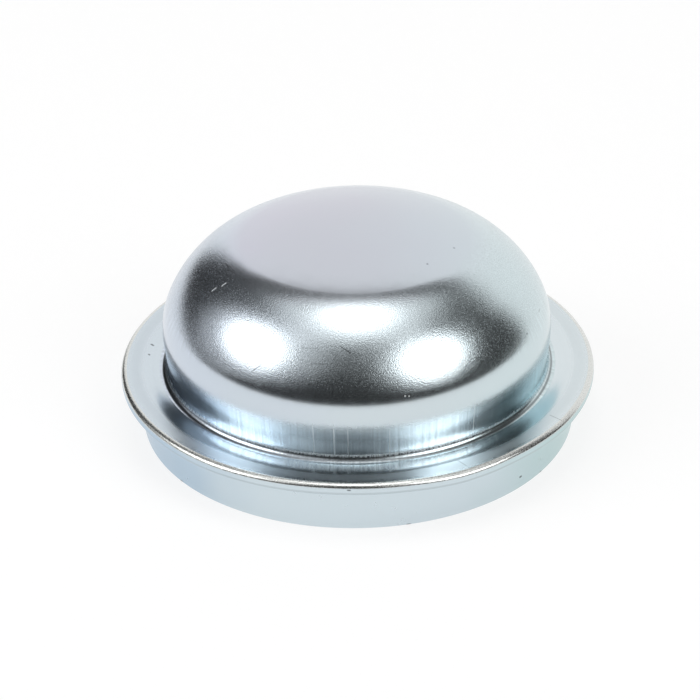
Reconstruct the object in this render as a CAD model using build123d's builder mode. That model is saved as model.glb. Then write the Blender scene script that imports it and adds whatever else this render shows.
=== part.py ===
"""Hub grease cap: one drawn sheet with a domed top, a folded flange and a press-fit skirt.

The origin is at the centre of the open mouth, on the plane that the skirt's edge stands on.
+Z runs up the axis. Lengths are in millimetres, and angles are in degrees up from level.
"""

import math
import os

from build123d import *

# Sheet
sheet = 1.0

# Skirt, which is driven into the hub as far as the flange
skirt_diameter = 76.0
skirt_depth = 8.45
edge_round = 0.25

# Flange, folded back on itself at the rim, and how far the rim stands out past the skirt
rim_overhang = 3.5
fold_gap = 0.15
fold_round = 0.8

# Dome: where it is widest, inside the skirt's outside and above the flange, and the wall's lean below that
wall_inset = 4.15
widest_rise = 7.25
wall_lean = 5.2

# Dome above its widest: hip, shoulder and crown, each running smoothly into the next
hip_radius = 11.5
hip_angle = 23.7
shoulder_radius = 20.7
crown_radius = 74.0

# Foot of the wall: its bend, a narrow ring sunk below the flange, and the slope up from there
foot_bend = 1.1
ring_width = 0.6
ring_sink = 0.16
ring_slope = 1.0

# Bend from the flange's lower layer down into the skirt
skirt_bend = 0.8

# The rim is two sheets and the gap between them
rim_radius = skirt_diameter / 2 + rim_overhang
flange_top = skirt_depth + 2 * sheet + fold_gap
ring_top = flange_top - ring_sink

# Centres of the dome's arcs, which both faces of the sheet share
hip_centre = Vector(skirt_diameter / 2 - wall_inset - hip_radius, flange_top + widest_rise)
shoulder_centre = hip_centre + Vector(hip_radius - shoulder_radius, 0).rotate(Axis.Z, hip_angle)
crown_drop = math.sqrt((crown_radius - shoulder_radius) ** 2 - shoulder_centre.X**2)
crown_centre = Vector(0, shoulder_centre.Y - crown_drop)
crown_angle = math.degrees(math.atan2(crown_drop, shoulder_centre.X))

# The bend at the foot touches the leaning wall and the ring
wall_top = hip_centre + Vector(hip_radius, 0).rotate(Axis.Z, -wall_lean)
wall_slope = math.tan(math.radians(wall_lean))
foot_reach = foot_bend / math.cos(math.radians(wall_lean))
foot_centre = wall_top.X - (wall_top.Y - ring_top - foot_bend) * wall_slope + foot_reach
ring_edge = foot_centre + ring_width


def face_of_sheet(depth):
    """One face of the sheet as a line from the axis to the skirt's edge, at a depth below the outside."""
    skirt_r = skirt_diameter / 2 - depth
    rim_r = rim_radius - depth
    upper = flange_top - depth
    lower = skirt_depth + depth
    ring = ring_top - depth
    with BuildLine() as face:
        CenterArc(crown_centre, crown_radius - depth, 90, crown_angle - 90)
        CenterArc(shoulder_centre, shoulder_radius - depth, crown_angle, hip_angle - crown_angle)
        hip = CenterArc(hip_centre, hip_radius - depth, hip_angle, -wall_lean - hip_angle)
        wall = Line(hip @ 1, ((hip @ 1).X - ((hip @ 1).Y - ring) * wall_slope, ring))
        flange = Polyline(wall @ 1, (ring_edge, ring), (ring_edge + ring_slope, upper), (rim_r, upper))
        rim = Line(flange @ 1, (rim_r, lower))
        underside = Line(rim @ 1, (skirt_r, lower))
        Line(underside @ 1, (skirt_r, 0))
        # A bend around the inside of the cap gets tighter with depth, one around the outside gets wider
        fillet(face.vertices().sort_by_distance(wall @ 1)[0], foot_bend + depth)
        fillet(face.vertices().sort_by_distance(underside @ 1)[0], skirt_bend + depth)
        # The fold is pressed flat, so only its outside is left round
        if depth < fold_round:
            fillet(face.vertices().sort_by_distance(rim @ 0)[0], fold_round - depth)
            fillet(face.vertices().sort_by_distance(rim @ 1)[0], fold_round - depth)
    return face.wires()[0]


outside = face_of_sheet(0)
inside = face_of_sheet(sheet)

os.makedirs("parts", exist_ok=True)

with BuildPart() as grease_cap:
    with BuildSketch(Plane.XZ):
        with BuildLine():
            add(outside)
            add(inside)
            Line(outside @ 0, inside @ 0)
            Line(outside @ 1, inside @ 1)
        make_face()
    revolve(axis=Axis.Z)
    # The sheared edge is broken on both sides
    mouth = grease_cap.edges().filter_by(GeomType.CIRCLE).group_by(Axis.Z)[0]
    fillet(mouth, edge_round)

grease_cap.part.label = "grease cap"
export_step(grease_cap.part, "parts/grease_cap.step")
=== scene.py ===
import math

import bpy
import numpy as np
from mathutils import Matrix, Quaternion, Vector


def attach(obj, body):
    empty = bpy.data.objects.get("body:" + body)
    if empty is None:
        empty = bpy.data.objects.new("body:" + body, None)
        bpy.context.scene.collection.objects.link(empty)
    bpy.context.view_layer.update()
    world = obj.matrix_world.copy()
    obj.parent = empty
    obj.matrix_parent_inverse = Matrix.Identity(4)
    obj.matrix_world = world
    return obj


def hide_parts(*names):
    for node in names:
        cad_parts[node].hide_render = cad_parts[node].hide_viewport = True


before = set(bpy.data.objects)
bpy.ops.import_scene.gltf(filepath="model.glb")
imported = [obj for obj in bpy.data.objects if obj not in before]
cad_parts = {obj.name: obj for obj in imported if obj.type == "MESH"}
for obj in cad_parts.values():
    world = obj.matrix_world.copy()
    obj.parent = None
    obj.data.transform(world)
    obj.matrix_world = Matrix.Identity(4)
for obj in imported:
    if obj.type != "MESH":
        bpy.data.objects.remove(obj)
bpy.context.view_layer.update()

# The cap is drawn in millimetres and the stage in metres. Angles are in degrees.
MM = 0.001

# Section of the sheet, as in the CAD model
SHEET = 1.0
SKIRT_R = 38.0
RIM_R = 41.5
FLANGE_TOP = 10.6
RIM_THICKNESS = 2.15
FOLD_ROUND = 0.8
WIDEST_R = 33.85
WIDEST_LEVEL = 17.85
WALL_LEAN = 5.2
HIP_R = 11.5
HIP_ANGLE = 23.7
SHOULDER_R = 20.7
CROWN_R = 74.0
FOOT_BEND = 1.1
RING_WIDTH = 0.6
RING_SINK = 0.16
RING_SLOPE = 1.0
SKIRT_BEND = 0.8
EDGE_ROUND = 0.25

# Finer form of the outside, within a quarter of a millimetre of the CAD model: the wall flares
# into its bend, the flange is slightly dished and the fold starts gently
FLARE_R = 2.22
FLARE_ANGLE = 24.7
FLARE_BEND = 1.25
DISH_SINK = 0.29
DISH_RING = 0.24
DISH_END = 38.16
FOLD_EASE = 1.4
FOLD_EASE_LIFT = 65


def turned(centre, radius, degrees):
    """The point at a radius and an angle from a centre."""
    a = math.radians(degrees)
    return (centre[0] + radius * math.cos(a), centre[1] + radius * math.sin(a))


def beside_wall(radius, level):
    """Centre, at a level, of a bend that runs into the leaning wall."""
    lean = math.radians(WALL_LEAN)
    return (WALL_TOP[0] + radius / math.cos(lean) - (WALL_TOP[1] - level) * math.tan(lean), level)


# Levels of the rim's underside and of the CAD model's ring at the wall's foot
SEAT = FLANGE_TOP - RIM_THICKNESS
RING_TOP = FLANGE_TOP - RING_SINK

# Centres and ends of the dome's arcs, and centres of the CAD model's bends
HIP_CENTRE = (WIDEST_R - HIP_R, WIDEST_LEVEL)
SHOULDER_CENTRE = turned(HIP_CENTRE, HIP_R - SHOULDER_R, HIP_ANGLE)
CROWN_DROP = math.sqrt((CROWN_R - SHOULDER_R) ** 2 - SHOULDER_CENTRE[0] ** 2)
CROWN_CENTRE = (0, SHOULDER_CENTRE[1] - CROWN_DROP)
CROWN_EDGE = math.degrees(math.atan2(CROWN_DROP, SHOULDER_CENTRE[0]))
WALL_TOP = turned(HIP_CENTRE, HIP_R, -WALL_LEAN)
WALL_WAY = 180 - WALL_LEAN
FOOT_CENTRE = beside_wall(FOOT_BEND, RING_TOP + FOOT_BEND)
SKIRT_BEND_CENTRE = (SKIRT_R + SKIRT_BEND, SEAT - SKIRT_BEND)

# Centres of the finer arcs at the foot and at the fold
DISH_LEVEL = FLANGE_TOP - DISH_SINK
FLARE_WAY = 180 + FLARE_ANGLE
BEND_TO_FLARE = turned((0, 0), FLARE_BEND - FLARE_R, FLARE_WAY)
FLARE_CENTRE = beside_wall(FLARE_R, DISH_LEVEL + FLARE_BEND + BEND_TO_FLARE[1])
BEND_CENTRE = (FLARE_CENTRE[0] - BEND_TO_FLARE[0], DISH_LEVEL + FLARE_BEND)
FOLD_R = RIM_R - FOLD_ROUND
EASE_TO_FOLD = turned((0, 0), FOLD_EASE - FOLD_ROUND, FOLD_EASE_LIFT)
EASE_CENTRE = (FOLD_R - EASE_TO_FOLD[0], FLANGE_TOP - FOLD_EASE)
FOLD_CENTRE = (FOLD_R, EASE_CENTRE[1] + EASE_TO_FOLD[1])

# Points closer than this are one point
SAME_POINT = 1e-6


class Outline:
    """A section: its points, the way it runs at each, and the stretch each is on.

    A stretch is added with its number of steps and its name.
    """

    def __init__(self):
        self.points = []
        self.ways = []
        self.zones = []

    def add(self, point, way, zone):
        if self.points and math.dist(self.points[-1], point) < SAME_POINT:
            return
        self.points.append(point)
        self.ways.append(way)
        self.zones.append(zone)

    def arc(self, centre, radius, start, end, steps, zone):
        side = 1 if end > start else -1
        for k in range(steps + 1):
            degrees = start + (end - start) * k / steps
            a = math.radians(degrees)
            self.add(turned(centre, radius, degrees), (-side * math.sin(a), side * math.cos(a)), zone)

    def line(self, start, end, steps, zone):
        run, climb = end[0] - start[0], end[1] - start[1]
        length = math.hypot(run, climb)
        for k in range(steps + 1):
            t = k / steps
            self.add((start[0] + run * t, start[1] + climb * t), (run / length, climb / length), zone)

    def rise(self, start, end, steps, zone):
        """A smooth rise that is level at both ends."""
        run, climb = end[0] - start[0], end[1] - start[1]
        for k in range(steps + 1):
            t = k / steps
            slope = 6 * t * (1 - t) * climb / run
            length = math.hypot(1, slope)
            point = (start[0] + run * t, start[1] + climb * t * t * (3 - 2 * t))
            self.add(point, (1 / length, slope / length), zone)


def add_dome_and_flange(section):
    """The outside, from the top of the crown to the fold."""
    dish_start = (BEND_CENTRE[0] + DISH_RING, DISH_LEVEL)
    dish_end = (DISH_END, FLANGE_TOP)
    section.arc(CROWN_CENTRE, CROWN_R, 90, CROWN_EDGE, 22, "crown")
    section.arc(SHOULDER_CENTRE, SHOULDER_R, CROWN_EDGE, HIP_ANGLE, 34, "shoulder")
    section.arc(HIP_CENTRE, HIP_R, HIP_ANGLE, -WALL_LEAN, 18, "hip")
    section.line(WALL_TOP, turned(FLARE_CENTRE, FLARE_R, WALL_WAY), 10, "wall")
    section.arc(FLARE_CENTRE, FLARE_R, WALL_WAY, FLARE_WAY, 8, "foot")
    section.arc(BEND_CENTRE, FLARE_BEND, FLARE_WAY, 270, 12, "foot")
    section.line((BEND_CENTRE[0], DISH_LEVEL), dish_start, 2, "ring")
    section.rise(dish_start, dish_end, 24, "flange")
    section.line(dish_end, (EASE_CENTRE[0], FLANGE_TOP), 6, "flange")


def add_rim_and_skirt(section):
    """The outside, around the fold, back under the flange and down the skirt to its edge."""
    outer_r = SKIRT_R - EDGE_ROUND
    inner_r = SKIRT_R - SHEET + EDGE_ROUND
    section.arc(EASE_CENTRE, FOLD_EASE, 90, FOLD_EASE_LIFT, 6, "fold")
    section.arc(FOLD_CENTRE, FOLD_ROUND, FOLD_EASE_LIFT, 0, 9, "fold")
    section.line((RIM_R, FOLD_CENTRE[1]), (RIM_R, SEAT + FOLD_ROUND), 3, "fold")
    section.arc((FOLD_R, SEAT + FOLD_ROUND), FOLD_ROUND, 0, -90, 8, "fold")
    section.line((FOLD_R, SEAT), (SKIRT_BEND_CENTRE[0], SEAT), 3, "skirt")
    section.arc(SKIRT_BEND_CENTRE, SKIRT_BEND, 90, 180, 7, "skirt")
    section.line((SKIRT_R, SKIRT_BEND_CENTRE[1]), (SKIRT_R, EDGE_ROUND), 9, "skirt")
    section.arc((outer_r, EDGE_ROUND), EDGE_ROUND, 0, -90, 4, "skirt")
    section.line((outer_r, 0), (inner_r, 0), 1, "skirt")
    section.arc((inner_r, EDGE_ROUND), EDGE_ROUND, -90, -180, 4, "skirt")


def add_inside(section):
    """The inside, as in the CAD model: up the skirt, through the slit in the fold and up to the crown."""
    skirt_in = SKIRT_R - SHEET
    slit_r = RIM_R - SHEET
    slit_low, slit_high = SEAT + SHEET, FLANGE_TOP - SHEET
    ring_under = RING_TOP - SHEET
    ring_edge = FOOT_CENTRE[0] + RING_WIDTH
    slope_end = ring_edge + RING_SLOPE
    wall_foot = turned(FOOT_CENTRE, FOOT_BEND + SHEET, WALL_WAY)
    section.line((skirt_in, EDGE_ROUND), (skirt_in, SKIRT_BEND_CENTRE[1]), 6, "inside")
    section.arc(SKIRT_BEND_CENTRE, SKIRT_BEND + SHEET, 180, 90, 8, "inside")
    section.line((SKIRT_BEND_CENTRE[0], slit_low), (slit_r, slit_low), 2, "inside")
    section.line((slit_r, slit_low), (slit_r, slit_high), 1, "inside")
    section.line((slit_r, slit_high), (slope_end, slit_high), 5, "inside")
    section.line((slope_end, slit_high), (ring_edge, ring_under), 2, "inside")
    section.line((ring_edge, ring_under), (FOOT_CENTRE[0], ring_under), 1, "inside")
    section.arc(FOOT_CENTRE, FOOT_BEND + SHEET, 270, WALL_WAY, 8, "inside")
    section.line(wall_foot, turned(HIP_CENTRE, HIP_R - SHEET, -WALL_LEAN), 4, "inside")
    section.arc(HIP_CENTRE, HIP_R - SHEET, -WALL_LEAN, HIP_ANGLE, 8, "inside")
    section.arc(SHOULDER_CENTRE, SHOULDER_R - SHEET, HIP_ANGLE, CROWN_EDGE, 18, "inside")
    section.arc(CROWN_CENTRE, CROWN_R - SHEET, CROWN_EDGE, 90, 10, "inside")


def sheet_section():
    """The sheet's section, from the axis down the outside and back up the inside to the axis."""
    section = Outline()
    add_dome_and_flange(section)
    add_rim_and_skirt(section)
    add_inside(section)
    return section


# Looks along the section. The lift is the angle of the surface, from 0 where it is upright to 90 where it
# faces up. These are the lifts where a look starts, is full, fades and ends.
GRAIN_LIFT = (17, 30, 64, 79)
BROW_LIFT = (16, 22, 26, 32)
# Painted shade in the crease where the wall's foot bends into the flange: a faint band higher on the bend
# and a full one lower down
UPPER_CREASE_SHADE_LIFT = (20, 26, 34, 42)
LOWER_CREASE_SHADE_LIFT = (44, 50, 62, 70)
# Painted shade along the rim's lower corner, where the fold turns under towards the skirt
LIP_SHADE_LIFT = (-60, -40, -12, -2)
# The lifts where a look starts and is full
CORNER_LIFT = (5, 30)
CROWN_LIFT = (58, 84)
FOOT_WALL_LIFT = (36, 18)
# The heights above the widest level where the wall's draw marks and its colour start and are full
DRAW_RISE = (0.5, -2.5)
WALL_RISE = (1.0, -3.0)
# Strength of some looks on some stretches, against 1 elsewhere
CORNER_GRAIN = 0.8
FOOT_GRAIN = 0.5
BROW_DRAW = 0.5
# Strength of the faint band of painted shade in the foot's crease
UPPER_CREASE_SHADE = 0.3

# Roughness of each stretch. The dome's changes with the lift, the wall's with the height and the flange's
# with the radius: by how much, from where and to where.
DOME_ROUGH = (0.17, (0.11, 9, -5), (0.07, 16, 34), (-0.08, 56, 70))
WALL_ROUGH = (0.19, (0.09, 14.8, 17.0))
FLANGE_ROUGH = (0.22, (0.13, 37.2, 38.6), (-0.08, 39.2, 40.2))
FOOT_ROUGH = 0.21
SKIRT_ROUGH = 0.26
INSIDE_ROUGH = 0.4


def smooth(x, low, high):
    """0 at one value and 1 at another, with a smooth step between them."""
    t = np.clip((np.asarray(x, float) - low) / (high - low), 0, 1)
    return t * t * (3 - 2 * t)


def band(x, start, full, fading, end):
    """1 between two values, and smoothly down to 0 on both sides."""
    return smooth(x, start, full) * smooth(x, end, fading)


def changing(x, first, *changes):
    """A value that starts at one level and changes smoothly by given amounts."""
    return first + sum(by * smooth(x, start, end) for by, start, end in changes)


def section_roughness(r, z, lift, zone):
    """Roughness at each point of the section."""
    rough = changing(lift, *DOME_ROUGH)
    wall = zone == "wall"
    flange = np.isin(zone, ("ring", "flange"))
    rough[wall] = changing(z[wall], *WALL_ROUGH)
    rough[flange] = changing(r[flange], *FLANGE_ROUGH)
    rough[zone == "foot"] = FOOT_ROUGH
    rough[np.isin(zone, ("fold", "skirt"))] = SKIRT_ROUGH
    rough[zone == "inside"] = INSIDE_ROUGH
    return rough


def section_looks(section):
    """What each point of the section carries into the material."""
    r, z = np.array(section.points).T
    way_r, way_z = np.array(section.ways).T
    lift = np.degrees(np.arctan2(way_r, -way_z))
    zone = np.array(section.zones)
    bulge = np.isin(zone, ("shoulder", "hip"))
    wall = zone == "wall"
    foot = zone == "foot"
    fold = zone == "fold"
    above_widest = z - WIDEST_LEVEL
    corner = fold * smooth(lift, *CORNER_LIFT)
    grain = bulge * band(lift, *GRAIN_LIFT) + CORNER_GRAIN * corner
    draw = (bulge | wall | foot) * smooth(above_widest, *DRAW_RISE)
    # Painted shade in the crease at the wall's foot
    crease_shade = UPPER_CREASE_SHADE * band(lift, *UPPER_CREASE_SHADE_LIFT) + band(lift, *LOWER_CREASE_SHADE_LIFT)
    wall_colour = (bulge | wall) * smooth(above_widest, *WALL_RISE)
    return {
        "grain": grain + FOOT_GRAIN * np.isin(zone, ("foot", "ring")),
        "draw": draw + bulge * BROW_DRAW * band(lift, *BROW_LIFT),
        "wall": wall_colour + foot * smooth(lift, *FOOT_WALL_LIFT),
        "crease_shade": foot * crease_shade,
        "flange": np.isin(zone, ("ring", "flange")) * 1.0,
        "fold": corner,
        "skirt": np.isin(zone, ("fold", "skirt")) * 1.0,
        "crown": np.isin(zone, ("crown", "shoulder")) * smooth(lift, *CROWN_LIFT),
        # Painted shade along the rim's lower corner
        "lip_shade": fold * band(lift, *LIP_SHADE_LIFT),
        "rough": section_roughness(r, z, lift, zone),
    }


# Dents in the rim: where around the cap, over how many degrees each way, and how high
RIM_DENTS = ((-66, 13, -0.26), (-49, 9, 0.08), (-33, 7, -0.1), (-96, 30, 0.28))
# How round a dent is in its middle, the step for its slope, the radius on the flange where the dents
# start, and the slack for a point that is level with the rim's faces
DENT_ROUND = 0.02
DENT_STEP = 0.1
DENT_START_R = 37.6
LEVEL_SLACK = 0.01


def dent_height(degrees):
    """Height of the rim's edge above its even level."""
    total = np.zeros_like(degrees)
    for middle, spread, height in RIM_DENTS:
        off = (degrees - middle + 180) % 360 - 180
        total += height * np.maximum(0, 1 - np.sqrt((off / spread) ** 2 + DENT_ROUND))
    return total


def dent_slope(degrees):
    """Slope of the rim's edge, per radian around the cap."""
    climb = dent_height(degrees + DENT_STEP) - dent_height(degrees - DENT_STEP)
    return climb / math.radians(2 * DENT_STEP)


def dent_share(r, z):
    """How much of a dent a point of the section has, and the slope of that over the radius."""
    start_r = np.where(z > SEAT + SHEET / 2, DENT_START_R, SKIRT_BEND_CENTRE[0])
    on_rim = (z > SEAT - LEVEL_SLACK) & (z < FLANGE_TOP + LEVEL_SLACK)
    t = np.clip((r - start_r) / (RIM_R - start_r), 0, 1)
    return t * t * (3 - 2 * t) * on_rim, 6 * t * (1 - t) / (RIM_R - start_r) * on_rim


# Steps around the axis, and a size a hair inside the facets of the CAD model
AROUND = 360
FACET_SHY = 0.9997


def cap_points(section):
    """The section turned about the axis, and its exact normals, which the dents tilt."""
    turn = np.arange(AROUND) * 2 * math.pi / AROUND
    cos, sin = np.cos(turn)[:, None], np.sin(turn)[:, None]
    height = dent_height(np.degrees(turn))[:, None]
    slope = dent_slope(np.degrees(turn))[:, None]
    # The section's two ends are on the axis and are added once
    r, z = (np.array(section.points[1:-1]) * (FACET_SHY, 1)).T[:, None]
    way_r, way_z = np.array(section.ways[1:-1]).T[:, None]
    share, share_slope = dent_share(r, z)
    points = np.stack([r * cos, r * sin, z + share * height], axis=2)
    out = -(way_z + height * share_slope * way_r)
    along = -way_r * slope * share / r
    up = np.broadcast_to(way_r, out.shape)
    normals = np.stack([out * cos - along * sin, out * sin + along * cos, up], axis=2)
    normals /= np.linalg.norm(normals, axis=2, keepdims=True)
    end_points = [(0, 0, section.points[0][1]), (0, 0, section.points[-1][1])]
    end_normals = [(0, 0, 1), (0, 0, -1)]
    return np.vstack([points.reshape(-1, 3), end_points]), np.vstack([normals.reshape(-1, 3), end_normals])


def cap_faces(rings):
    """Faces between neighbouring sections, and two fans that close the crown on the axis."""
    top, under = AROUND * rings, AROUND * rings + 1
    pairs = [(here * rings, (here + 1) % AROUND * rings) for here in range(AROUND)]
    faces = [(a + k, a + k + 1, b + k + 1, b + k) for a, b in pairs for k in range(rings - 1)]
    faces += [(top, a, b) for a, b in pairs]
    faces += [(under, b + rings - 1, a + rings - 1) for a, b in pairs]
    return faces


def cap_mesh():
    """The cap, with its exact normals and what it carries into the material."""
    section = sheet_section()
    points, normals = cap_points(section)
    mesh = bpy.data.meshes.new("grease_cap_skin")
    mesh.from_pydata((points * MM).tolist(), [], cap_faces(len(section.points) - 2))
    for name, value in section_looks(section).items():
        data = np.concatenate([np.tile(value[1:-1], AROUND), value[[0, -1]]]).astype(np.float32)
        mesh.attributes.new(name, "FLOAT", "POINT").data.foreach_set("value", data)
    mesh.shade_smooth()
    mesh.normals_split_custom_set_from_vertices(normals.tolist())
    mesh.validate(clean_customdata=False)
    return mesh


class Graph:
    """Short calls for building a node tree."""

    def __init__(self, tree):
        self.tree = tree
        tree.nodes.clear()

    def node(self, kind, **settings):
        made = self.tree.nodes.new(kind)
        for key, value in settings.items():
            setattr(made, key, value)
        return made

    def put(self, value, socket):
        if isinstance(value, bpy.types.NodeSocket):
            self.tree.links.new(value, socket)
        else:
            socket.default_value = value

    def math(self, operation, a, b=None, c=None, clamp=False):
        made = self.node("ShaderNodeMath", operation=operation, use_clamp=clamp)
        for value, socket in zip((a, b, c), made.inputs):
            if value is not None:
                self.put(value, socket)
        return made.outputs[0]

    def plus(self, base, value, by, where=None):
        """A base plus a value times a number, all over or as far as a mask says."""
        share = by if where is None else self.math("MULTIPLY", where, by)
        return self.math("MULTIPLY_ADD", value, share, base)

    def most(self, values):
        """The largest of some values."""
        largest, *others = values
        for value in others:
            largest = self.math("MAXIMUM", largest, value)
        return largest

    def vector(self, operation, a, b=None, scale=None):
        made = self.node("ShaderNodeVectorMath", operation=operation)
        self.put(a, made.inputs[0])
        if b is not None:
            self.put(b, made.inputs[1])
        if scale is not None:
            self.put(scale, made.inputs["Scale"])
        scalar = operation in ("LENGTH", "DOT_PRODUCT", "DISTANCE")
        return made.outputs["Value" if scalar else "Vector"]

    def step(self, value, low, high, to_low=0.0, to_high=1.0):
        made = self.node("ShaderNodeMapRange", interpolation_type="SMOOTHSTEP")
        for item, socket in zip((value, low, high, to_low, to_high), made.inputs):
            self.put(item, socket)
        return made.outputs[0]

    def noise(self, vector, scale, detail, roughness):
        made = self.node("ShaderNodeTexNoise")
        self.put(vector, made.inputs["Vector"])
        made.inputs["Scale"].default_value = scale
        made.inputs["Detail"].default_value = detail
        made.inputs["Roughness"].default_value = roughness
        return made.outputs["Fac"]

    def ripple(self, vector, noise):
        """Noise about 0."""
        return self.math("SUBTRACT", self.noise(vector, *noise), 0.5)

    def mix(self, fac, a, b):
        made = self.node("ShaderNodeMix", data_type="RGBA")
        # The node has sockets for every type of data, and these are the ones for colours
        self.put(fac, made.inputs[0])
        self.put(a, made.inputs[6])
        self.put(b, made.inputs[7])
        return made.outputs[2]

    def choose(self, fac, first, second):
        """One shader where a mask is 0 and another where it is 1."""
        made = self.node("ShaderNodeMixShader")
        for value, socket in zip((fac, first.outputs[0], second.outputs[0]), made.inputs):
            self.put(value, socket)
        return made

    def carried(self, name):
        """A value that the mesh carries."""
        made = self.node("ShaderNodeAttribute", attribute_name=name, attribute_type="GEOMETRY")
        return made.outputs["Fac"]

    def output(self, kind, shader):
        self.put(shader.outputs[0], self.node(kind).inputs[0])


# Colours of the passivate: the first one, on the left, then from where to where across the cap
# the next one takes over. On the skirt the darker left and right are partly the passivate's tint and partly
# painted reflection of the table's shade.
DOME_COLOURS = (
    (0.595, 0.655, 0.735, 1),
    (-30, 4, (0.62, 0.692, 0.727, 1)),
    (2, 32, (0.615, 0.71, 0.732, 1)),
)
CROWN_COLOURS = (
    (0.575, 0.592, 0.652, 1),
    (-6, 24, (0.585, 0.636, 0.69, 1)),
)
WALL_COLOURS = (
    (0.48, 0.6, 0.745, 1),
    (-26, -8, (0.64, 0.738, 0.79, 1)),
    (18, 30, (0.45, 0.665, 0.735, 1)),
)
FLANGE_COLOURS = (
    (0.632, 0.7, 0.752, 1),
    (-20, 36, (0.69, 0.755, 0.78, 1)),
)
# Skirt: the passivate's tint, with the darker left and right partly painted reflection of the table's shade
SKIRT_TINTS_AND_SHADE = (
    (0.46, 0.58, 0.69, 1),
    (-36, -15, (0.62, 0.705, 0.75, 1)),
    (16, 38, (0.51, 0.655, 0.66, 1)),
)
FOLD_COLOUR = (0.72, 0.735, 0.715, 1)
WORN_COLOUR = (0.86, 0.9, 0.92, 1)
# The crown is more lilac on its left, up to a slanting edge
CROWN_LILAC = (0.585, 0.565, 0.65, 1)
LILAC_EDGE = (-32, 2)
LILAC_SLANT = -0.6

# Noise: repeats per millimetre, detail and roughness
DRIFT_NOISE = (0.06, 2.0, 0.5)
STREAK_NOISE = (2.6, 4.0, 0.75)
RINGS_NOISE = (2.2, 3.0, 0.6)
PEEL_NOISE = (4.8, 1.0, 0.5)
WEAR_NOISE = (0.6, 2.0, 0.5)
TEETH_NOISE = (6.5, 2.0, 0.5)
REACH_NOISE = (1.1, 2.0, 0.5)
# How far the colours drift, how fast a streak changes down the wall, and a ring around the flange
DRIFT_REACH = 22.0
STREAK_CHANGE = 0.02
RINGS_CHANGE = 0.6

# Strength of each look in the colour's tone
STREAK_TONE = 0.95
RINGS_TONE = 0.08
PEEL_TONE = 0.45
DARK_TONE = -0.7
FAINT_SCRATCH_AND_SHADE_TONE = -0.36
# Painted shade in the crease at the wall's foot
CREASE_SHADE_TONE = -0.58
# Painted shade along the rim's lower corner
LIP_SHADE_TONE = -0.16
# In relief, in millimetres
STREAK_RELIEF = 0.006
RINGS_RELIEF = 0.0025
PEEL_RELIEF = 0.022
WEAR_RELIEF = 0.0025
DARK_RELIEF = -0.004
# In roughness
PEEL_ROUGH = 0.25
WEAR_ROUGH = 0.06
WORN_ROUGH = 0.4
# How worn the die's lines and scuffs are, against 1 for a bright mark
LINES_WORN = 0.5
SCUFFS_WORN = 0.5

# Marks in the surface, each from one point to another, with its width
BRIGHT_MARKS = (
    # Two dashes on the left of the shoulder
    ((-24.29, -10.95, 30.49), (-23.6, -10.84, 30.98), 0.17),
    ((-22.57, -11.17, 31.52), (-21.89, -10.96, 31.96), 0.17),
    # Two specks low on the front of the dome
    ((7.56, -32.21, 21.97), (7.6, -32.2, 21.97), 0.16),
    ((8.21, -32.1, 21.86), (8.25, -32.09, 21.86), 0.13),
)
DARK_MARKS = (
    # A bent scratch on the front of the shoulder
    ((-2.74, -28.12, 29.09), (-1.9, -28.6, 28.75), 0.13),
    ((-1.9, -28.6, 28.75), (-1.28, -28.91, 28.4), 0.18),
    # A speck low on the right of the dome
    ((28.58, -15.33, 23.43), (28.6, -15.3, 23.43), 0.2),
    # Three specks on the left of the flange
    ((-36.53, 5.93, 10.6), (-36.2, 5.6, 10.6), 0.3),
    ((-36.81, 2.46, 10.6), (-36.7, 2.3, 10.6), 0.28),
    ((-36.6, 1.9, 10.6), (-36.5, 1.8, 10.6), 0.14),
    # A speck on the front of the rim, and one on the right of the skirt
    ((-2.08, -41.37, 9.93), (-1.7, -41.4, 9.9), 0.2),
    ((26.97, -26.77, 2.18), (27.2, -26.54, 2.18), 0.24),
    # Three nicks in the skirt's edge
    ((-30.49, -22.68, 0.1), (-30.35, -22.87, 0.2), 0.3),
    ((30.91, -22.1, 0.1), (30.8, -22.26, 0.2), 0.3),
    ((7.63, -37.23, 0.1), (8.1, -37.13, 0.12), 0.22),
)
# Faint dark scratches and specks, and painted shade along two creases in the rim
FAINT_SCRATCHES_AND_CREASE_SHADE = (
    # Fine scratches on the left, the right and the front of the dome
    ((-17.59, -26.93, 23.95), (-16.06, -27.01, 25.22), 0.13),
    ((32.11, 0.45, 24.04), (31.09, -8.54, 23.8), 0.14),
    ((-7.67, -29.39, 26.72), (-4.88, -29.82, 26.92), 0.1),
    ((-9.26, -27.26, 28.56), (-6.3, -27.95, 28.7), 0.08),
    # Two specks on the crown
    ((16.72, -5.09, 34.61), (16.74, -5.07, 34.61), 0.3),
    ((11.98, -11.09, 34.88), (12.0, -11.07, 34.88), 0.3),
    # Painted shade along two creases across the rim, where the rim is kinked
    ((32.31, -20.68, 10.6), (34.39, -22.56, 10.5), 0.12),
    ((15.94, -34.09, 10.6), (18.32, -36.64, 10.5), 0.12),
)
# Lines down the wall from the drawing die: degrees around the cap, lower and upper end, and width
DRAW_LINES = (
    (-103.0, 11.3, 18.0, 0.1),
    (-97.1, 11.3, 18.0, 0.16),
    (-93.2, 11.3, 17.8, 0.1),
    (-55.4, 11.3, 18.6, 0.09),
    (-81.5, 11.3, 17.0, 0.06),
)
# The part of its width over which a mark or a line is full, and how far a line fades at its two ends
MARK_CORE = 0.35
LINE_CORE = 0.3
LINE_LOWER_FADE = 0.6
LINE_UPPER_FADE = 2.0

# Scuffs from the die above the wall's foot: heights where they start, the least height they reach, how much
# the noise adds to that, how softly they end, and the levels of the noise that part them into teeth
SCUFF_START = (FLANGE_TOP + 0.42, FLANGE_TOP + 0.56)
SCUFF_REACH = FLANGE_TOP + 0.38
SCUFF_MORE = 0.8
SCUFF_END = (-0.1, 0.15)
SCUFF_TEETH = (0.4, 0.62)


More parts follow.
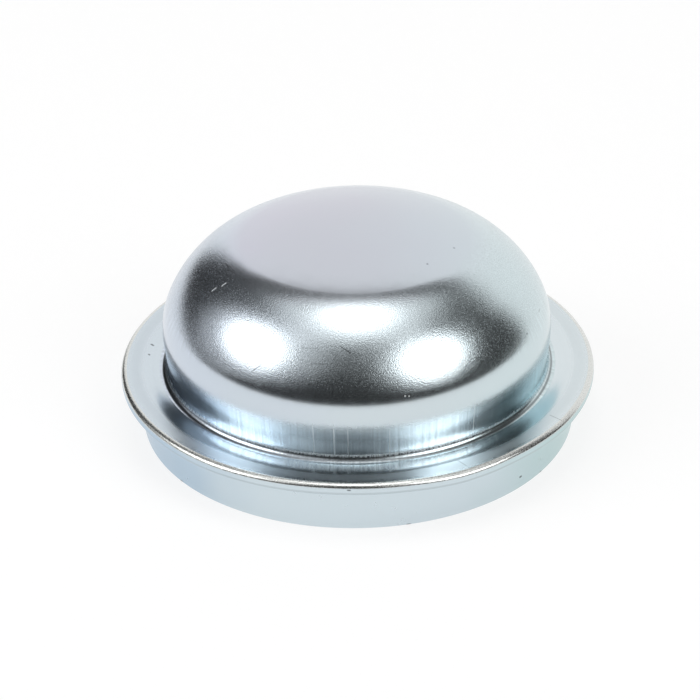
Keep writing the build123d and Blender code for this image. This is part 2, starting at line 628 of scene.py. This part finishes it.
class Place:
    """Where a point of the cap is, in millimetres."""

    def __init__(self, graph):
        self.point = graph.vector("SCALE", graph.node("ShaderNodeTexCoord").outputs["Object"], scale=1 / MM)
        split = graph.node("ShaderNodeSeparateXYZ")
        graph.put(self.point, split.inputs[0])
        self.across, self.back, self.height = split.outputs
        flat = graph.vector("MULTIPLY", self.point, (1, 1, 0))
        spoke = graph.vector("NORMALIZE", flat)
        # Noise at this place runs in streaks down the wall
        around = graph.vector("SCALE", spoke, scale=WIDEST_R)
        upward = graph.vector("MULTIPLY", self.point, (0, 0, STREAK_CHANGE))
        self.on_wall = graph.vector("ADD", around, upward)
        # Noise at this place runs in rings around the flange
        radius = graph.node("ShaderNodeCombineXYZ")
        graph.put(graph.vector("LENGTH", flat), radius.inputs[0])
        wander = graph.vector("SCALE", spoke, scale=RINGS_CHANGE)
        self.on_flange = graph.vector("ADD", radius.outputs[0], wander)


def drifting(graph, drift, first, *changes):
    """A colour that changes across the cap."""
    colour = first
    for start, end, following in changes:
        colour = graph.mix(graph.step(drift, start, end), colour, following)
    return colour


def passivate_and_skirt_shade(graph, place):
    """Grey blue that drifts over the cap, more lilac on the crown; on the skirt it is also darker at the
    left and right, as painted reflection of the table's shade.
    """
    drift = graph.plus(place.across, graph.ripple(place.point, DRIFT_NOISE), DRIFT_REACH)
    slanting = graph.plus(drift, place.back, LILAC_SLANT)
    on_crown = drifting(graph, drift, *CROWN_COLOURS)
    on_crown = graph.mix(graph.step(slanting, *LILAC_EDGE), CROWN_LILAC, on_crown)
    colour = drifting(graph, drift, *DOME_COLOURS)
    colour = graph.mix(graph.carried("crown"), colour, on_crown)
    colour = graph.mix(graph.carried("wall"), colour, drifting(graph, drift, *WALL_COLOURS))
    colour = graph.mix(graph.carried("flange"), colour, drifting(graph, drift, *FLANGE_COLOURS))
    # The skirt's darker left and right are partly painted reflection of the table's shade
    colour = graph.mix(graph.carried("skirt"), colour, drifting(graph, drift, *SKIRT_TINTS_AND_SHADE))
    return graph.mix(graph.carried("fold"), colour, FOLD_COLOUR)


def mark(graph, place, start, end, width):
    """1 on a short straight mark in the surface, 0 away from it."""
    run = Vector(end) - Vector(start)
    off = graph.vector("SUBTRACT", place.point, start)
    along = graph.vector("DOT_PRODUCT", off, tuple(run))
    share = graph.math("MULTIPLY", along, 1 / run.length_squared, clamp=True)
    nearest = graph.vector("SCALE", tuple(run), scale=share)
    return graph.step(graph.vector("DISTANCE", off, nearest), MARK_CORE * width, width, 1.0, 0.0)


def marks(graph, place, items):
    """1 on any of some marks."""
    return graph.most([mark(graph, place, *item) for item in items])


def draw_line(graph, place, degrees, low, high, width):
    """1 on a line down the wall at an angle around the cap, between two heights."""
    cos, sin = turned((0, 0), 1, degrees)
    aside = graph.math("ABSOLUTE", graph.vector("DOT_PRODUCT", place.point, (sin, -cos, 0)))
    this_side = graph.math("GREATER_THAN", graph.vector("DOT_PRODUCT", place.point, (cos, sin, 0)), 0)
    above_low = graph.step(place.height, low, low + LINE_LOWER_FADE)
    below_high = graph.step(place.height, high - LINE_UPPER_FADE, high, 1.0, 0.0)
    line = graph.math("MULTIPLY", graph.step(aside, LINE_CORE * width, width, 1.0, 0.0), this_side)
    return graph.math("MULTIPLY", line, graph.math("MULTIPLY", above_low, below_high))


def scuffs(graph, place):
    """1 on the short scuffs above the wall's foot."""
    teeth = graph.step(graph.noise(place.on_wall, *TEETH_NOISE), *SCUFF_TEETH)
    reach = graph.plus(SCUFF_REACH, graph.noise(place.on_wall, *REACH_NOISE), SCUFF_MORE)
    within = graph.step(graph.math("SUBTRACT", place.height, reach), *SCUFF_END, 1.0, 0.0)
    strip = graph.math("MULTIPLY", graph.step(place.height, *SCUFF_START), within)
    return graph.math("MULTIPLY", graph.math("MULTIPLY", strip, teeth), graph.carried("wall"))


def worn_places(graph, place):
    """How worn the surface is: most on the bright marks, less on what the die left."""
    lines = graph.most([draw_line(graph, place, *item) for item in DRAW_LINES])
    lines = graph.math("MULTIPLY", lines, LINES_WORN)
    scuffed = graph.math("MULTIPLY", scuffs(graph, place), SCUFFS_WORN)
    return graph.most([marks(graph, place, BRIGHT_MARKS), lines, scuffed])


def zinc_material():
    """Bright zinc with a clear bluish passivate, over drawn sheet steel."""
    material = bpy.data.materials.new("zinc_plated_steel")
    material.use_nodes = True
    graph = Graph(material.node_tree)
    place = Place(graph)
    grain = graph.carried("grain")
    draw = graph.carried("draw")
    flange = graph.carried("flange")

    # Streaks down the wall, rings on the flange, the speckle of the stretched sheet, and wear all over
    streak = graph.ripple(place.on_wall, STREAK_NOISE)
    rings = graph.ripple(place.on_flange, RINGS_NOISE)
    peel = graph.ripple(place.point, PEEL_NOISE)
    wear = graph.ripple(place.point, WEAR_NOISE)
    dark = marks(graph, place, DARK_MARKS)
    worn = worn_places(graph, place)

    tone = graph.plus(1.0, streak, STREAK_TONE, draw)
    tone = graph.plus(tone, rings, RINGS_TONE, flange)
    tone = graph.plus(tone, peel, PEEL_TONE, grain)
    tone = graph.plus(tone, dark, DARK_TONE)
    # Darkened by painted shade in the crease at the wall's foot
    tone = graph.math("MULTIPLY", tone, graph.plus(1.0, graph.carried("crease_shade"), CREASE_SHADE_TONE))
    # Darkened by faint scratches and specks, and by painted shade along the rim's creases
    tone = graph.plus(tone, marks(graph, place, FAINT_SCRATCHES_AND_CREASE_SHADE), FAINT_SCRATCH_AND_SHADE_TONE)
    # Darkened by painted shade along the rim's lower corner
    tone = graph.plus(tone, graph.carried("lip_shade"), LIP_SHADE_TONE)
    colour = graph.vector("SCALE", passivate_and_skirt_shade(graph, place), scale=tone)

    relief = graph.plus(0.0, peel, PEEL_RELIEF, grain)
    relief = graph.plus(relief, streak, STREAK_RELIEF, draw)
    relief = graph.plus(relief, rings, RINGS_RELIEF, flange)
    relief = graph.plus(relief, wear, WEAR_RELIEF)
    relief = graph.plus(relief, dark, DARK_RELIEF)
    bump = graph.node("ShaderNodeBump")
    bump.inputs["Strength"].default_value = 1.0
    bump.inputs["Distance"].default_value = MM
    graph.put(relief, bump.inputs["Height"])

    rough = graph.plus(graph.carried("rough"), wear, WEAR_ROUGH)
    rough = graph.plus(rough, peel, PEEL_ROUGH, grain)
    rough = graph.math("MULTIPLY_ADD", worn, WORN_ROUGH, rough, clamp=True)

    shader = graph.node("ShaderNodeBsdfPrincipled")
    shader.inputs["Metallic"].default_value = 1.0
    graph.put(graph.mix(worn, colour, WORN_COLOUR), shader.inputs["Base Color"])
    graph.put(rough, shader.inputs["Roughness"])
    graph.put(bump.outputs[0], shader.inputs["Normal"])
    graph.output("ShaderNodeOutputMaterial", shader)
    return material


# Stage: a table a hair below the cap, so that their faces don't meet in one plane, and an arched screen
TABLE_LEVEL = -0.02 * MM
TABLE_REACH = 3
SCREEN_BACK = 0.9
SCREEN_EDGE = (
    (-0.46, 0.0), (2.25, 0.0), (2.25, 1.42), (1.35, 1.39), (1.0, 1.28), (0.72, 1.17),
    (0.56, 1.2), (0.43, 1.3), (0.3, 1.44), (0.16, 1.54), (0.0, 1.57), (-0.14, 1.53),
    (-0.28, 1.41), (-0.4, 1.16), (-0.5, 0.87), (-0.5, 0.5),
)
# Their white: the colour that lights the room, the white of their own that is seen, and the colour that
# carries shadows in what is seen
TABLE_WHITE = (0.8, 0.79, 0.25)
SCREEN_WHITE = (0.8, 1.0, 0.0)
# Distance of the lamps and of their dimmer surrounds
LAMP_DISTANCE = 1.5
SPILL_DISTANCE = 1.6
# Brightness of the room by the height of the direction, from 0 at the horizon to 1 overhead
ROOM_LEVELS = ((0.0, 0.025), (0.45, 0.038), (0.71, 0.09), (0.84, 0.19), (0.95, 0.36))


def stage_material(name, colour, glow, shade):
    """A white studio surface: part of what is seen is its own white, the rest is lit and carries shadows."""
    material = bpy.data.materials.new(name)
    material.use_nodes = True
    graph = Graph(material.node_tree)
    lit = graph.node("ShaderNodeBsdfDiffuse")
    lit.inputs["Color"].default_value = (colour, colour, colour, 1)
    shaded = graph.node("ShaderNodeBsdfDiffuse")
    shaded.inputs["Color"].default_value = (shade, shade, shade, 1)
    white = graph.node("ShaderNodeEmission")
    white.inputs["Strength"].default_value = glow
    both = graph.node("ShaderNodeAddShader")
    graph.put(shaded.outputs[0], both.inputs[0])
    graph.put(white.outputs[0], both.inputs[1])
    # What the camera sees, directly or in a mirror-like surface, against what lights the room
    path = graph.node("ShaderNodeLightPath")
    seen = graph.most([path.outputs[f"Is {kind} Ray"] for kind in ("Camera", "Glossy", "Transmission")])
    graph.output("ShaderNodeOutputMaterial", graph.choose(seen, lit, both))
    return material


def add(name, data):
    made = bpy.data.objects.new(name, data)
    bpy.context.scene.collection.objects.link(made)
    return made


def panel(name, corners, material):
    """A flat piece of the stage."""
    mesh = bpy.data.meshes.new(name)
    mesh.from_pydata(corners, [], [tuple(range(len(corners)))])
    mesh.materials.append(material)
    made = add(name, mesh)


def softbox(name, azimuth, elevation, across, up, radiance, distance=LAMP_DISTANCE, shape="ELLIPSE", roll=0):
    """A lamp seen from the cap at an azimuth from the camera's side, with its half extents in degrees."""
    a, e = math.radians(azimuth), math.radians(elevation)
    way = Vector((math.sin(a) * math.cos(e), -math.cos(a) * math.cos(e), math.sin(e)))
    data = bpy.data.lights.new(name, "AREA")
    data.shape = shape
    data.size = 2 * distance * math.tan(math.radians(across))
    data.size_y = 2 * distance * math.tan(math.radians(up))
    area = data.size * data.size_y * (math.pi / 4 if shape == "ELLIPSE" else 1)
    data.energy = 4 * area * radiance
    lamp = add(name, data)
    lamp.location = way * distance
    rolled = Quaternion((0, 0, 1), math.radians(roll))
    lamp.rotation_euler = (way.to_track_quat("Z", "Y") @ rolled).to_euler()


def room_world():
    """A dim room, a little lighter overhead, and white where the camera looks past the stage."""
    world = bpy.data.worlds.new("studio")
    world.use_nodes = True
    graph = Graph(world.node_tree)
    way = graph.node("ShaderNodeSeparateXYZ")
    graph.put(graph.node("ShaderNodeTexCoord").outputs["Generated"], way.inputs[0])
    ramp = graph.node("ShaderNodeValToRGB")
    graph.put(way.outputs[2], ramp.inputs[0])
    elements = ramp.color_ramp.elements
    while len(elements) < len(ROOM_LEVELS):
        elements.new(0.5)
    for element, (position, level) in zip(elements, ROOM_LEVELS):
        element.position = position
        element.color = (level, level, level, 1)
    room = graph.node("ShaderNodeBackground")
    graph.put(ramp.outputs[0], room.inputs[0])
    white = graph.node("ShaderNodeBackground")
    white.inputs[0].default_value = (1, 1, 1, 1)
    is_camera = graph.node("ShaderNodeLightPath").outputs["Is Camera Ray"]
    graph.output("ShaderNodeOutputWorld", graph.choose(is_camera, room, white))
    return world


# Camera, fitted to the outline in the photo: its place in millimetres, its angles, and its focal length
# and frame in pixels
CAMERA_PLACE = (-1.253, -387.667, 238.997)
CAMERA_ELEVATION = 30.35
CAMERA_ROLL = -1.155
FOCAL_PX = 2557.0
FRAME_PX = 700
# The sensor's width, in millimetres, and the nearest distance that is drawn
SENSOR = 36.0
NEAREST = 0.01


def photo_camera():
    """The camera at the photo's viewing angle."""
    data = bpy.data.cameras.new("camera")
    data.sensor_width = SENSOR
    data.lens = FOCAL_PX * SENSOR / FRAME_PX
    data.clip_start = NEAREST
    elevation, roll = math.radians(CAMERA_ELEVATION), math.radians(CAMERA_ROLL)
    right = Vector((1, 0, 0))
    up = Vector((0, math.sin(elevation), math.cos(elevation)))
    ahead = Vector((0, math.cos(elevation), -math.sin(elevation)))
    rolled_right = right * math.cos(roll) + up * math.sin(roll)
    rolled_up = up * math.cos(roll) - right * math.sin(roll)
    facing = Matrix((rolled_right, rolled_up, -ahead)).transposed().to_4x4()
    camera = add("camera", data)
    camera.matrix_world = Matrix.Translation(Vector(CAMERA_PLACE) * MM) @ facing
    return camera


# The cap
cap = add("grease_cap_skin", cap_mesh())
cap.data.materials.append(zinc_material())
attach(cap, "root")
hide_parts("grease_cap")

# A white table, and a white screen behind it
square = ((-1, -1), (1, -1), (1, 1), (-1, 1))
table = stage_material("table_white", *TABLE_WHITE)
screen = stage_material("screen_white", *SCREEN_WHITE)
panel("table", [(x * TABLE_REACH, y * TABLE_REACH, TABLE_LEVEL) for x, y in square], table)
panel("screen", [(x, SCREEN_BACK, z) for x, z in SCREEN_EDGE], screen)

# Three soft lamps, each with a dimmer surround
softbox("soft_left", -75.5, 36.5, across=20.3, up=16.7, radiance=2.0)
softbox("spill_left", -75, 35, across=41, up=25, radiance=0.32, distance=SPILL_DISTANCE, roll=26)
softbox("soft_right", 50.6, 36.5, across=19.2, up=17.3, radiance=2.0)
softbox("spill_right", 46.5, 36.5, across=26.5, up=24, radiance=0.28, distance=SPILL_DISTANCE)
softbox("soft_top", 0, 89.3, across=14.6, up=15.2, radiance=1.25)
softbox("spill_top", 0, 88.3, across=29, up=23.4, radiance=0.42, distance=SPILL_DISTANCE, shape="RECTANGLE")

bpy.context.scene.world = room_world()
bpy.context.scene.camera = photo_camera()
bpy.context.scene.view_settings.view_transform = "Standard"
